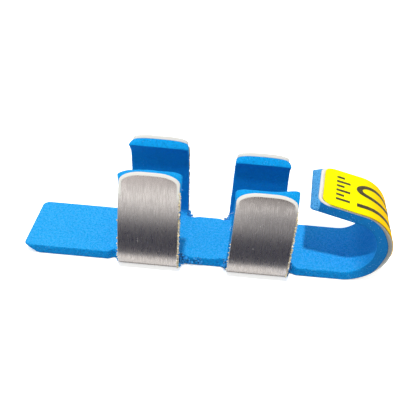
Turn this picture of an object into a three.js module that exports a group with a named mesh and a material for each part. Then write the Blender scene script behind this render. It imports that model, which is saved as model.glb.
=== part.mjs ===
// A four-prong finger splint: one bent aluminium sheet, foam bonded to its inner side, and a label.
// The sheet is laid out flat as a blank, then bent: the strip curls over the fingertip at one end,
// and each prong turns up from the strip's edge round the finger.
// Millimetres and degrees, +Z up, the base lying on the ground along +X with the fingertip end at +X.

import * as THREE from 'three';

// Driving dimensions of the metal
const METAL = 0.8;
const BASE_LENGTH = 62.4;
const TAIL_WIDTH = 14.8;
const WAIST_WIDTH = 13.6;
const TIP_WIDTH = 14.6;
const STRIP_CORNER = 2.3;
const CURL_RADIUS = 7.5;
const CURL_TURN = 171;
const CURL_SKEW = 4.5;
const FLAP_LENGTH = 9;

// Driving dimensions of the prongs
const PRONG_WIDTH = 11.6;
const PRONG_LENGTH = 22;
const PRONG_BEND_TURN = 84;
const PRONG_TIP_SHARE = 0.24;
const PRONG_CROWN = 1.9;
const PRONG_CROWN_WIDTH = 4.2;
const ROOT_FILLET = 1.2;
const FIRST_PAIR = 24.2;
const PAIR_PITCH = 20.9;

// Driving dimensions of the foam
const FOAM = 1.35;
const PRONG_FOAM = 1.8;
const GLUE_GAP = 0.1;
const FOAM_INNER_BEND = 0.75;
const FOAM_CORNER = 1;
const FOAM_CROWN = 1;
const FOAM_CROWN_WIDTH = 2.4;
const OVERHANG_END = 1;
const OVERHANG_SIDE = 0.4;
const OVERHANG_PRONG = 0.25;
const OVERHANG_PRONG_TIP = 0.3;

// Driving dimensions of the label
const LABEL = 0.12;
const LABEL_GAP = 0.06;
const LABEL_LENGTH = 21;
const LABEL_MARGIN = 0.2;
const LABEL_SETBACK = 0.8;
const LABEL_CORNER = 2;

// The curl as arcs of equal turn, from the base to the flap, as shares of its mean radius
const CURL_ARCS = [
  { name: 'sole', radius: 1.23 },
  { name: 'nose', radius: 0.82 },
  { name: 'crown', radius: 1 },
];

// The pairs of prongs: how far the back one stands on from the front one, as a share of a prong's width
const PAIRS = [
  { name: 'first', stagger: 0.06 },
  { name: 'second', stagger: 0.02 },
];

// The prongs: reach, lean and taper are shares of the prong's length or width, turns are degrees
const PRONGS = [
  { name: 'front first', pair: 0, side: -1, reach: 1.075, wallTurn: 14, tipTurn: 14, lean: -0.01, taper: 0.05 },
  { name: 'back first', pair: 0, side: 1, reach: 1.035, wallTurn: 10, tipTurn: 38, lean: -0.08, taper: 0.02 },
  { name: 'front second', pair: 1, side: -1, reach: 0.975, wallTurn: 14, tipTurn: 14, lean: 0.03, taper: 0.03 },
  { name: 'back second', pair: 1, side: 1, reach: 0.94, wallTurn: 10, tipTurn: 38, lean: -0.02, taper: 0.08 },
];

// How thick the foam stands along the strip, as shares of its thickness on the base
const FOAM_SWELL = [
  { name: 'foot of the curl', along: 0, swell: 1 },
  { name: 'inside the nose', along: 0.5, swell: 1.7 },
  { name: 'top of the curl', along: 1, swell: 0.87 },
];

// Steps of the faceted surface
const ACROSS_STRIP = [-1, -0.5, 0, 0.5, 1];
const ACROSS_PRONG = [-1, -0.5, 0, 0.5, 1];
const CORNER_STEPS = 4;
const BEND_STEPS = 7;
const WALL_STEPS = 4;
const TIP_STEPS = 4;
const CURL_STEP = 1.1;

const { degToRad, lerp, smoothstep } = THREE.MathUtils;

// What follows from the driving dimensions
const FOAM_BACK = METAL + GLUE_GAP;
const PRONG_BEND = FOAM_BACK + PRONG_FOAM + FOAM_INNER_BEND;
const SKEW = degToRad(CURL_SKEW);
const ARC_TURN = degToRad(CURL_TURN) / CURL_ARCS.length;
const CURL_SEGMENTS = CURL_ARCS.map((arc) => {
  return { length: arc.radius * CURL_RADIUS * ARC_TURN, turn: ARC_TURN };
});
const CURL_LENGTH = CURL_SEGMENTS.reduce((sum, segment) => sum + segment.length, 0);
const STRIP_LENGTH = BASE_LENGTH + CURL_LENGTH + FLAP_LENGTH;

// How far each face of a sheet reaches past the metal's outline, and how its corners are rounded
const FLUSH = {
  end: 0,
  side: 0,
  prong: 0,
  prongTip: 0,
  corner: STRIP_CORNER,
  crown: PRONG_CROWN,
  crownWidth: PRONG_CROWN_WIDTH,
};
const PROUD = {
  end: OVERHANG_END,
  side: OVERHANG_SIDE,
  prong: OVERHANG_PRONG,
  prongTip: OVERHANG_PRONG_TIP,
  corner: FOAM_CORNER,
  crown: FOAM_CROWN,
  crownWidth: FOAM_CROWN_WIDTH,
};

// Walks a run along arcs and straights, and gives the place and the heading there
function walk(segments, run) {
  const at = { along: 0, up: 0, heading: 0 };
  let rest = run;
  segments.forEach((segment, index) => {
    const last = index === segments.length - 1;
    const part = last ? rest : Math.min(rest, segment.length);
    const turn = (segment.turn * part) / segment.length;
    const chord = turn === 0 ? part : (2 * part * Math.sin(turn / 2)) / turn;
    at.along += chord * Math.cos(at.heading + turn / 2);
    at.up += chord * Math.sin(at.heading + turn / 2);
    at.heading += turn;
    rest -= part;
  });
  return at;
}

// Puts a point of the blank on the bent strip: s along it, t across it, h into its thickness.
// The curl is bent about a line a little out of square with the strip.
function onStrip(s, t, h) {
  const x = s - BASE_LENGTH;
  const axial = x * Math.sin(SKEW) + t * Math.cos(SKEW);
  const run = x * Math.cos(SKEW) - t * Math.sin(SKEW);
  if (run <= 0) {
    return new THREE.Vector3(s, t, h);
  }
  const at = walk([...CURL_SEGMENTS, { length: FLAP_LENGTH, turn: 0 }], run);
  const along = at.along - h * Math.sin(at.heading);
  return new THREE.Vector3(
    BASE_LENGTH + along * Math.cos(SKEW) + axial * Math.sin(SKEW),
    axial * Math.cos(SKEW) - along * Math.sin(SKEW),
    at.up + h * Math.cos(at.heading),
  );
}

// The lengths of a prong's bend, wall and tip along its outer face
function prongSegments(prong) {
  const bendTurn = degToRad(PRONG_BEND_TURN);
  const bend = PRONG_BEND * bendTurn;
  const reach = prong.reach * PRONG_LENGTH;
  const tip = PRONG_TIP_SHARE * reach;
  return [
    { length: bend, turn: bendTurn },
    { length: reach - bend - tip, turn: degToRad(prong.wallTurn) },
    { length: tip, turn: degToRad(prong.tipTurn) },
  ];
}

// Puts a point of the blank on a bent prong, run being its distance from the prong's root
function onProng(prong, s, run, h) {
  const at = walk(prongSegments(prong), run);
  const y = WAIST_WIDTH / 2 + at.along - h * Math.sin(at.heading);
  return new THREE.Vector3(s, prong.side * y, at.up + h * Math.cos(at.heading));
}

// How far a rounded corner draws an edge in, at a distance from the end
function cornerInset(radius, distance) {
  const rest = Math.max(radius - distance, 0);
  return radius - Math.sqrt(radius * radius - rest * rest);
}

function pairCentre(pair) {
  return FIRST_PAIR + pair * PAIR_PITCH;
}

// How far a pair is set along the strip at a share of the way across it
function pairStagger(pair, across) {
  return (PAIRS[pair].stagger * PRONG_WIDTH * across) / 2;
}

// The strip's half width in the metal, narrower from the first pair of prongs to the second
function metalHalfWidth(s, across) {
  const root = PRONG_WIDTH / 2 + ROOT_FILLET;
  const first = pairCentre(0) + pairStagger(0, across) - root;
  const second = pairCentre(1) + pairStagger(1, across) + root;
  const narrowing = smoothstep(s, first - ROOT_FILLET, first);
  const widening = smoothstep(s, second, second + ROOT_FILLET);
  const behind = lerp(TAIL_WIDTH / 2, WAIST_WIDTH / 2, narrowing);
  return lerp(behind, TIP_WIDTH / 2, widening);
}

// 0 at the roots of the prongs, and 1 a fillet's length away from them
function clearOfRoots(s, across) {
  const root = PRONG_WIDTH / 2 + ROOT_FILLET;
  const gaps = PAIRS.map((_, pair) => Math.abs(s - pairCentre(pair) - pairStagger(pair, across)) - root);
  return smoothstep(Math.min(...gaps), 0, ROOT_FILLET);
}

function foamSwell(s) {
  const along = (s - BASE_LENGTH) / CURL_LENGTH;
  const next = FOAM_SWELL.findIndex((station) => station.along > along);
  if (next < 0) {
    return FOAM_SWELL.at(-1).swell;
  }
  if (next === 0) {
    return FOAM_SWELL[0].swell;
  }
  const [from, to] = [FOAM_SWELL[next - 1], FOAM_SWELL[next]];
  return lerp(from.swell, to.swell, smoothstep(along, from.along, to.along));
}

// The foam's thickness on the strip, growing round a prong's bend to its thickness on the prong
function foamThickness(s, run = 0) {
  const onWall = smoothstep(run, 0, PRONG_BEND * degToRad(PRONG_BEND_TURN));
  return lerp(FOAM * foamSwell(s), PRONG_FOAM, onWall);
}

// The rows of the blank along the strip. A row at a corner keeps its share of the corner's radius.
function stripRows() {
  const rows = [];
  const corner = (step) => 1 - Math.cos((step / CORNER_STEPS) * (Math.PI / 2));
  for (let step = 0; step <= CORNER_STEPS; step += 1) {
    rows.push((face) => face.corner * corner(step) - face.end);
  }
  const root = PRONG_WIDTH / 2 + ROOT_FILLET;
  for (const pair of PAIRS.keys()) {
    const from = -root - ROOT_FILLET;
    const places = [from, from + ROOT_FILLET / 2, ...ACROSS_PRONG.map((share) => share * root)];
    places.push(-from - ROOT_FILLET / 2, -from);
    for (const place of places) {
      rows.push((face, across) => pairCentre(pair) + place + pairStagger(pair, across));
    }
  }
  const curlSpread = (TIP_WIDTH / 2) * Math.tan(SKEW);
  const start = BASE_LENGTH - curlSpread;
  const end = BASE_LENGTH + CURL_LENGTH + curlSpread;
  const steps = Math.round((end - start) / CURL_STEP);
  for (let step = 0; step <= steps; step += 1) {
    rows.push(() => lerp(start, end, step / steps));
  }
  for (let step = CORNER_STEPS; step >= 0; step -= 1) {
    rows.push((face) => STRIP_LENGTH + face.end - face.corner * corner(step));
  }
  return rows;
}

// The strip's half width in one face of a sheet
function faceHalfWidth(face, s, across) {
  const overhang = face.side * clearOfRoots(s, across) * foamSwell(s);
  const fromEnd = Math.min(s + face.end, STRIP_LENGTH + face.end - s);
  return metalHalfWidth(s, across) + overhang - cornerInset(face.corner, fromEnd);
}

// The rows of a prong, as functions of the face that give the distance from the root
function prongRows(prong) {
  const [bend, wall, tip] = prongSegments(prong).map((segment) => segment.length);
  const reach = bend + wall + tip;
  const rows = [];
  for (let step = 1; step <= BEND_STEPS; step += 1) {
    rows.push(() => (bend * step) / BEND_STEPS);
  }
  for (let step = 1; step <= WALL_STEPS; step += 1) {
    rows.push(() => bend + (wall * step) / WALL_STEPS);
  }
  const tipRoom = (face) => tip + face.prongTip - face.crown;
  for (let step = 1; step <= TIP_STEPS; step += 1) {
    rows.push((face) => bend + wall + (tipRoom(face) * step) / TIP_STEPS);
  }
  for (let step = 1; step <= CORNER_STEPS; step += 1) {
    const share = Math.sin((step / CORNER_STEPS) * (Math.PI / 2));
    rows.push((face) => reach + face.prongTip - face.crown * (1 - share));
  }
  return rows;
}

// A prong's half width in one face of a sheet, with its root fillet and its rounded tip corners
function prongHalfWidth(prong, face, run) {
  const reach = prong.reach * PRONG_LENGTH;
  const flare = cornerInset(ROOT_FILLET, run);
  const overhang = face.prong * smoothstep(run, 0, ROOT_FILLET);
  const fromTip = reach + face.prongTip - run;
  const inset = (cornerInset(face.crown, fromTip) * face.crownWidth) / face.crown;
  return (PRONG_WIDTH / 2) * (1 - (prong.taper * run) / reach) + flare + overhang - inset;
}

// The blank as a mesh: vertices that know their place in each face of the sheet, and triangles
function makeBlank() {
  const vertices = [];
  const triangles = [];
  const rows = stripRows();
  const columns = ACROSS_STRIP.length;
  rows.forEach((row) => {
    ACROSS_STRIP.forEach((share) => {
      vertices.push((face, h) => {
        const s = row(face, share);
        return onStrip(s, share * faceHalfWidth(face, s, share), h(s));
      });
    });
  });
  const quad = (a, b, c, d) => triangles.push([a, b, c], [a, c, d]);
  for (let i = 0; i + 1 < rows.length; i += 1) {
    for (let j = 0; j + 1 < columns; j += 1) {
      const a = i * columns + j;
      quad(a, a + columns, a + columns + 1, a + 1);
    }
  }
  const rowsPerPair = ACROSS_PRONG.length + 4;
  for (const prong of PRONGS) {
    const firstRow = CORNER_STEPS + 1 + prong.pair * rowsPerPair + 2;
    const edge = prong.side < 0 ? 0 : columns - 1;
    let below = ACROSS_PRONG.map((_, j) => (firstRow + j) * columns + edge);
    for (const row of prongRows(prong)) {
      const above = ACROSS_PRONG.map((share) => {
        vertices.push((face, h) => {
          const run = row(face);
          const lean = (prong.lean * PRONG_WIDTH * run) / (prong.reach * PRONG_LENGTH);
          const centre = pairCentre(prong.pair) + pairStagger(prong.pair, prong.side) + lean;
          const s = centre + share * prongHalfWidth(prong, face, run);
          return onProng(prong, s, run, h(centre, run));
        });
        return vertices.length - 1;
      });
      for (let j = 0; j + 1 < above.length; j += 1) {
        if (prong.side < 0) {
          quad(above[j], above[j + 1], below[j + 1], below[j]);
        } else {
          quad(below[j], below[j + 1], above[j + 1], above[j]);
        }
      }
      below = above;
    }
  }
  return { vertices, triangles };
}

// The label's own blank: a rectangle with rounded corners that follows the outside of the curl
function makeLabelBlank() {
  const start = STRIP_LENGTH - LABEL_SETBACK - LABEL_LENGTH;
  const steps = Math.round((LABEL_LENGTH - 2 * LABEL_CORNER) / CURL_STEP);
  const rows = [];
  for (let step = 0; step <= CORNER_STEPS; step += 1) {
    rows.push(LABEL_CORNER * (1 - Math.cos((step / CORNER_STEPS) * (Math.PI / 2))));
  }
  for (let step = 1; step < steps; step += 1) {
    rows.push(lerp(LABEL_CORNER, LABEL_LENGTH - LABEL_CORNER, step / steps));
  }
  for (let step = CORNER_STEPS; step >= 0; step -= 1) {
    rows.push(LABEL_LENGTH - LABEL_CORNER * (1 - Math.cos((step / CORNER_STEPS) * (Math.PI / 2))));
  }
  const columns = ACROSS_STRIP.length;
  const vertices = rows.flatMap((row) => {
    const inset = cornerInset(LABEL_CORNER, Math.min(row, LABEL_LENGTH - row));
    const halfWidth = TIP_WIDTH / 2 - LABEL_MARGIN - inset;
    return ACROSS_STRIP.map((share) => (face, h) => onStrip(start + row, share * halfWidth, h()));
  });
  const triangles = [];
  for (let i = 0; i + 1 < rows.length; i += 1) {
    for (let j = 0; j + 1 < columns; j += 1) {
      const a = i * columns + j;
      triangles.push([a, a + columns, a + columns + 1], [a, a + columns + 1, a + 1]);
    }
  }
  return { vertices, triangles };
}

// Gives a blank its thickness: an outer skin, an inner skin, and walls round the edge between them
function thicken(blank, outer, inner) {
  const place = (skin) => blank.vertices.map((vertex) => vertex(skin.face, skin.depth));
  const points = [...place(outer), ...place(inner)];
  const count = blank.vertices.length;
  const index = [];
  const edges = new Map();
  for (const [a, b, c] of blank.triangles) {
    index.push(a, c, b, a + count, b + count, c + count);
    for (const [from, to] of [[a, b], [b, c], [c, a]]) {
      edges.set(`${from},${to}`, [from, to]);
    }
  }
  for (const [from, to] of edges.values()) {
    if (!edges.has(`${to},${from}`)) {
      index.push(from, to, to + count, from, to + count, from + count);
    }
  }
  const geometry = new THREE.BufferGeometry().setFromPoints(points);
  geometry.setIndex(index);
  geometry.computeVertexNormals();
  return geometry;
}

function piece(name, geometry, finish) {
  const mesh = new THREE.Mesh(geometry, new THREE.MeshStandardMaterial(finish));
  mesh.name = name;
  return mesh;
}

function aluminiumSplint() {
  const geometry = thicken(makeBlank(), { face: FLUSH, depth: () => 0 }, { face: FLUSH, depth: () => METAL });
  return piece('aluminium_splint', geometry, { color: 0x9a979b, roughness: 0.35, metalness: 1 });
}

function foamPadding() {
  const back = { face: FLUSH, depth: () => FOAM_BACK };
  const front = { face: PROUD, depth: (s, run) => FOAM_BACK + foamThickness(s, run) };
  return piece('foam_padding', thicken(makeBlank(), back, front), { color: 0x28a0ff, roughness: 0.9, metalness: 0 });
}

function sizeLabel() {
  const outer = { face: FLUSH, depth: () => -LABEL_GAP - LABEL };
  const inner = { face: FLUSH, depth: () => -LABEL_GAP };
  return piece('size_label', thicken(makeLabelBlank(), outer, inner), { color: 0xfff000, roughness: 0.4, metalness: 0 });
}

// The whole splint, with the middle of its footprint at the origin
const splint = new THREE.Group();
splint.add(aluminiumSplint(), foamPadding(), sizeLabel());
const middle = new THREE.Box3().setFromObject(splint).getCenter(new THREE.Vector3());
splint.position.set(-middle.x, -middle.y, 0);

export default splint;
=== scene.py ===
"""A four-prong finger splint: one bent aluminium sheet, foam bonded inside it, and a size label.

The sheet and its foam start as one flat blank. A place on the blank is (s, t), along and across the
strip, with h going into the thickness from the metal's outer face. These are millimetres. The bends
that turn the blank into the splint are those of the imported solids, and the meshes are in metres.
"""

import logging
import math
from dataclasses import dataclass, field
from enum import Enum

import bmesh
import bpy
import numpy as np
from mathutils import Matrix, Vector, noise


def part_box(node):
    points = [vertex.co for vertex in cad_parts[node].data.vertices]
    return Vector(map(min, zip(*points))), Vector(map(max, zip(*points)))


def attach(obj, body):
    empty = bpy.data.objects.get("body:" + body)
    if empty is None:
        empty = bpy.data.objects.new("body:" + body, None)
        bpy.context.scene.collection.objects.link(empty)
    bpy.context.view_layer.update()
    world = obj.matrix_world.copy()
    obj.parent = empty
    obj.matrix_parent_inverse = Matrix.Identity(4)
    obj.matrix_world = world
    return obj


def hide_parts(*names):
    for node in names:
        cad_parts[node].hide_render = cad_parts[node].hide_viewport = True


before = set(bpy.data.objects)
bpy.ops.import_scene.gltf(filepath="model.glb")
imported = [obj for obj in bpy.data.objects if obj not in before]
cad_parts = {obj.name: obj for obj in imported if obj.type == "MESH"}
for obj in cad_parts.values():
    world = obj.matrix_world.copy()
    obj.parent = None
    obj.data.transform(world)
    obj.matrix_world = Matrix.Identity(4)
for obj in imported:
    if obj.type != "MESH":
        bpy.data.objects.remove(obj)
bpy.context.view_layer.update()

MM = 0.001
TINY = 1e-9
BODY = "root"
LOG = logging.getLogger("finger_splint")

Values = float | np.ndarray
Colour = tuple[float, float, float, float]
Span = tuple[float, float]
Feed = bpy.types.NodeSocket | float | tuple


class Side(Enum):
    """The edge of the strip that a prong turns up from."""

    FRONT = -1
    BACK = 1


class BitShape(Enum):
    """The small solid that a scatter of loose bits repeats."""

    CRUMB = "crumb"
    FIBRE = "fibre"


def lerp(a: Values, b: Values, share: Values) -> Values:
    """Goes from a to b by a share."""
    return a + (b - a) * share


def smoothstep(x: Values, low: Values, high: Values) -> Values:
    """Rises smoothly from 0 at low to 1 at high."""
    share = np.clip((x - low) / (high - low), 0.0, 1.0)
    return share * share * (3.0 - 2.0 * share)


def corner_inset(radius: Values, distance: Values) -> Values:
    """How far a rounded corner draws an edge in, at a distance from the end."""
    rest = np.clip(radius - distance, 0.0, radius)
    return radius - np.sqrt(radius * radius - rest * rest)


def ripple(places: np.ndarray, pitch: float, seed: float = 0.0) -> np.ndarray:
    """Smooth noise between -1 and 1 at flat places.

    Args:
        places: flat places, one row each, in millimetres.
        pitch: the size of a ripple, in millimetres.
        seed: moves the noise, so that two uses differ.

    Returns:
        One value for each place.
    """
    return np.array([noise.noise(Vector((x / pitch, y / pitch, seed))) for x, y in places])


@dataclass(frozen=True)
class Prong:
    """A prong of the blank.

    Reach, lean and taper are shares of a prong's length or width, and turns are degrees.
    """

    pair: int
    side: Side
    reach: float
    wall_turn: float
    tip_turn: float
    lean: float
    taper: float


@dataclass(frozen=True)
class Outline:
    """How far one face of a sheet reaches past the metal's outline, and how its corners are rounded."""

    end: float = 0.0
    side: float = 0.0
    prong: float = 0.0
    prong_tip: float = 0.0
    tail_corner: float = 2.3
    corner: float = 2.3
    crown: float = 1.9
    crown_width: float = 4.2


@dataclass
class SplintForm:
    """The sizes of the blank and its bends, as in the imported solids, in millimetres and degrees."""

    metal: float = 0.8
    base_length: float = 62.4
    tail_width: float = 14.8
    waist_width: float = 13.6
    tip_width: float = 14.6
    curl_radius: float = 7.5
    curl_turn: float = 171.0
    curl_skew: float = 4.5
    curl_arcs: tuple[float, ...] = (1.23, 0.82, 1.0)
    flap_length: float = 9.0
    prong_width: float = 11.6
    prong_length: float = 22.0
    prong_bend_turn: float = 84.0
    prong_tip_share: float = 0.24
    prong_bend: float = 3.45
    root_fillet: float = 1.2
    first_pair: float = 24.2
    pair_pitch: float = 20.9
    pair_stagger: tuple[float, ...] = (0.06, 0.02)
    foam: float = 1.35
    prong_foam: float = 1.8
    foam_swell: tuple[Span, ...] = ((0.0, 1.0), (0.5, 1.7), (1.0, 0.87))
    prongs: tuple[Prong, ...] = (
        Prong(0, Side.FRONT, 1.075, 14, 14, -0.01, 0.05),
        Prong(0, Side.BACK, 1.035, 10, 38, -0.08, 0.02),
        Prong(1, Side.FRONT, 0.975, 14, 14, 0.03, 0.03),
        Prong(1, Side.BACK, 0.94, 10, 38, -0.02, 0.08),
    )

    @property
    def curl_segments(self) -> list[Span]:
        """The stretches of the strip past its base.

        Returns:
            The curl's arcs and the flap, each with its length and its turn in radians.
        """
        turn = math.radians(self.curl_turn) / len(self.curl_arcs)
        arcs = [(share * self.curl_radius * turn, turn) for share in self.curl_arcs]
        return arcs + [(self.flap_length, 0.0)]

    @property
    def curl_length(self) -> float:
        """The length of the curl along the blank."""
        return sum(length for length, _ in self.curl_segments[:-1])

    @property
    def strip_length(self) -> float:
        """The length of the whole strip."""
        return self.base_length + self.curl_length + self.flap_length

    @property
    def root(self) -> float:
        """Half the length of a prong's root, with its fillets."""
        return self.prong_width / 2 + self.root_fillet

    def reach(self, prong: Prong) -> float:
        """The length of a prong along its outer face."""
        return prong.reach * self.prong_length

    def prong_segments(self, prong: Prong) -> list[Span]:
        """The stretches of a prong from its root to its tip.

        Args:
            prong: the prong.

        Returns:
            Its bend, wall and tip, each with its length and its turn in radians.
        """
        bend_turn = math.radians(self.prong_bend_turn)
        bend = self.prong_bend * bend_turn
        tip = self.prong_tip_share * self.reach(prong)
        wall = self.reach(prong) - bend - tip
        return [(bend, bend_turn), (wall, math.radians(prong.wall_turn)), (tip, math.radians(prong.tip_turn))]

    def walk(self, segments: list[Span], run: np.ndarray) -> tuple[np.ndarray, ...]:
        """Walks along arcs and straights.

        Args:
            segments: length and turn of each stretch. The last one goes on past its end.
            run: how far to walk, one value a point.

        Returns:
            How far along, how far up, and the heading, for each point.
        """
        along, up, heading = np.zeros_like(run), np.zeros_like(run), np.zeros_like(run)
        rest = run.copy()
        for index, (length, turn) in enumerate(segments):
            last = index == len(segments) - 1
            part = rest if last else np.minimum(rest, length)
            bent = turn * part / length
            chord = part * np.sinc(bent / (2 * math.pi))
            along += chord * np.cos(heading + bent / 2)
            up += chord * np.sin(heading + bent / 2)
            heading += bent
            rest = rest - part
        return along, up, heading

    def bend_strip(self, flat: np.ndarray, h: np.ndarray) -> np.ndarray:
        """Puts places of the flat strip on the bent one.

        Args:
            flat: (s, t), one row a point.
            h: depth into the thickness, one value a point.

        Returns:
            (x, y, z) in millimetres, with the blank's tail end at x = 0.
        """
        s, t = flat[:, 0], flat[:, 1]
        skew = math.radians(self.curl_skew)
        x = s - self.base_length
        axial = x * math.sin(skew) + t * math.cos(skew)
        run = x * math.cos(skew) - t * math.sin(skew)
        ahead, up, heading = self.walk(self.curl_segments, np.maximum(run, 0.0))
        along = ahead - h * np.sin(heading)
        curled = np.column_stack((
            self.base_length + along * math.cos(skew) + axial * math.sin(skew),
            axial * math.cos(skew) - along * math.sin(skew),
            up + h * np.cos(heading),
        ))
        return np.where((run <= 0.0)[:, None], np.column_stack((s, t, h)), curled)

    def bend_prong(self, prong: Prong, flat: np.ndarray, h: np.ndarray) -> np.ndarray:
        """Puts places of a flat prong on the bent one.

        Args:
            prong: the prong.
            flat: (s, run) with run from the prong's root, one row a point.
            h: depth into the thickness, one value a point.

        Returns:
            (x, y, z) in millimetres, with the blank's tail end at x = 0.
        """
        along, up, heading = self.walk(self.prong_segments(prong), flat[:, 1])
        y = self.waist_width / 2 + along - h * np.sin(heading)
        return np.column_stack((flat[:, 0], prong.side.value * y, up + h * np.cos(heading)))

    def pair_place(self, pair: int, across: Values) -> Values:
        """Where the middle of a pair of prongs is along the strip, at a share of the way across it."""
        stagger = self.pair_stagger[pair] * self.prong_width * across / 2
        return self.first_pair + pair * self.pair_pitch + stagger

    def prong_middle(self, prong: Prong, run: np.ndarray) -> np.ndarray:
        """Where the middle line of a leaning prong is along the strip, at a distance from its root."""
        lean = prong.lean * self.prong_width * run / self.reach(prong)
        return self.pair_place(prong.pair, prong.side.value) + lean

    def metal_half_width(self, s: np.ndarray, across: np.ndarray) -> np.ndarray:
        """The strip's half width in the metal.

        Args:
            s: places along the strip.
            across: their shares of the way across it, because the pairs are staggered.

        Returns:
            The half width at each place.
        """
        first = self.pair_place(0, across) - self.root
        second = self.pair_place(1, across) + self.root
        narrowing = smoothstep(s, first - self.root_fillet, first)
        widening = smoothstep(s, second, second + self.root_fillet)
        return lerp(lerp(self.tail_width, self.waist_width, narrowing), self.tip_width, widening) / 2

    def clear_of_roots(self, s: np.ndarray, across: np.ndarray) -> np.ndarray:
        """0 at the roots of the prongs, and 1 a fillet's length away from them."""
        gaps = [np.abs(s - self.pair_place(pair, across)) - self.root for pair in (0, 1)]
        return smoothstep(np.minimum(*gaps), 0.0, self.root_fillet)

    def swell(self, s: np.ndarray) -> np.ndarray:
        """The foam's thickness along the strip.

        Args:
            s: places along the strip.

        Returns:
            The thickness as a share of that on the base.
        """
        along = np.clip((s - self.base_length) / self.curl_length, 0.0, 1.0)
        (a0, v0), (a1, v1), (a2, v2) = self.foam_swell
        growing = lerp(v0, v1, smoothstep(along, a0, a1))
        return np.where(along < a1, growing, lerp(v1, v2, smoothstep(along, a1, a2)))

    def face_half_width(self, outline: Outline, s: np.ndarray, across: np.ndarray) -> np.ndarray:
        """The strip's half width in one face of a sheet.

        Args:
            outline: how that face differs from the metal's outline.
            s: places along the strip.
            across: their shares of the way across it.

        Returns:
            The half width at each place.
        """
        overhang = outline.side * self.clear_of_roots(s, across) * self.swell(s)
        inset = corner_inset(outline.tail_corner, s + outline.end)
        inset = inset + corner_inset(outline.corner, self.strip_length + outline.end - s)
        return self.metal_half_width(s, across) + overhang - inset

    def prong_half_width(self, prong: Prong, outline: Outline, run: np.ndarray) -> np.ndarray:
        """A prong's half width in one face of a sheet, with its root fillet and its rounded tip corners.

        Args:
            prong: the prong.
            outline: how that face differs from the metal's outline.
            run: distances from the prong's root.

        Returns:
            The half width at each distance.
        """
        reach = self.reach(prong)
        flare = corner_inset(self.root_fillet, run)
        overhang = outline.prong * smoothstep(run, 0.0, self.root_fillet)
        drawn_in = corner_inset(outline.crown, reach + outline.prong_tip - run)
        inset = drawn_in * outline.crown_width / outline.crown
        return self.prong_width / 2 * (1 - prong.taper * run / reach) + flare + overhang - inset


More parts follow.
